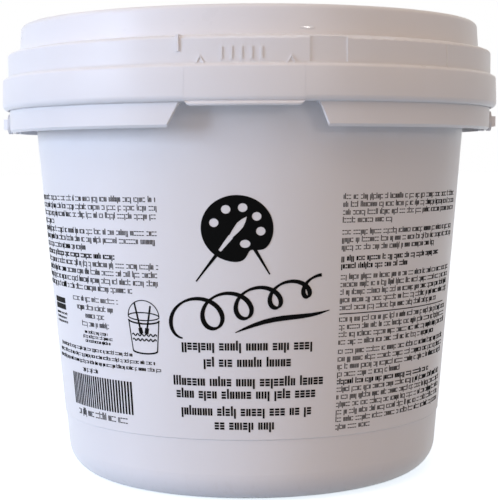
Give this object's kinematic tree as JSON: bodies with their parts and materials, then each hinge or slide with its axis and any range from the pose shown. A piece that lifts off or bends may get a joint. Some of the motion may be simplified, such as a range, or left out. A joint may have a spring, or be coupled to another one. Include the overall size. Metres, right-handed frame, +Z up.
{
  "type": "brush cleaning bucket",
  "caption": "White moulded pail with a tear-strip lid, swinging plastic bail and a lift-out wire scrubbing screen, for cleaning paint brushes.",
  "frame": {"origin": "centre of the base, on the standing plane", "axes": "+Z up along the pail's axis, front (pull tab) towards -Y, bail pivots on +X and -X"},
  "size_m": [0.2122, 0.2149, 0.1862],
  "materials": {
    "white_plastic": "semi-gloss moulded polyethylene",
    "seal_rubber": "matt foam rubber",
    "zinc_wire": "drawn wire with a dull zinc plate",
    "print_ink": "black screen-printing ink"
  },
  "bodies": {
    "bucket": {"bucket_shell": "white_plastic"},
    "lid": {"lid": "white_plastic", "lid_seal": "seal_rubber", "tear_strip": "white_plastic"},
    "pull_tab": {"pull_tab": "white_plastic"},
    "bail": {"bail": "white_plastic"},
    "screen": {"screen_top_hoop": "zinc_wire", "screen_mid_hoop": "zinc_wire", "screen_foot_hoop": "zinc_wire", "screen_posts": "zinc_wire", "screen_warp_wires": "zinc_wire", "screen_weft_wires": "zinc_wire"}
  },
  "joints": [
    {"name": "lid_lift", "type": "slide", "parent": "bucket", "child": "lid", "axis": [0, 0, 1], "range_m": [0, 0.12]},
    {"name": "pull_tab_hinge", "type": "hinge", "parent": "lid", "child": "pull_tab", "pos_m": [0, -0.1038, 0.1642], "axis": [-1, 0, 0], "range_deg": [0, 70]},
    {"name": "bail_swing", "type": "hinge", "parent": "bucket", "child": "bail", "pos_m": [0, 0, 0.1463], "axis": [1, 0, 0], "range_deg": [-32, 212]},
    {"name": "screen_lift", "type": "slide", "parent": "bucket", "child": "screen", "axis": [0, 0, 1], "range_m": [0, 0.12]}
  ]
}
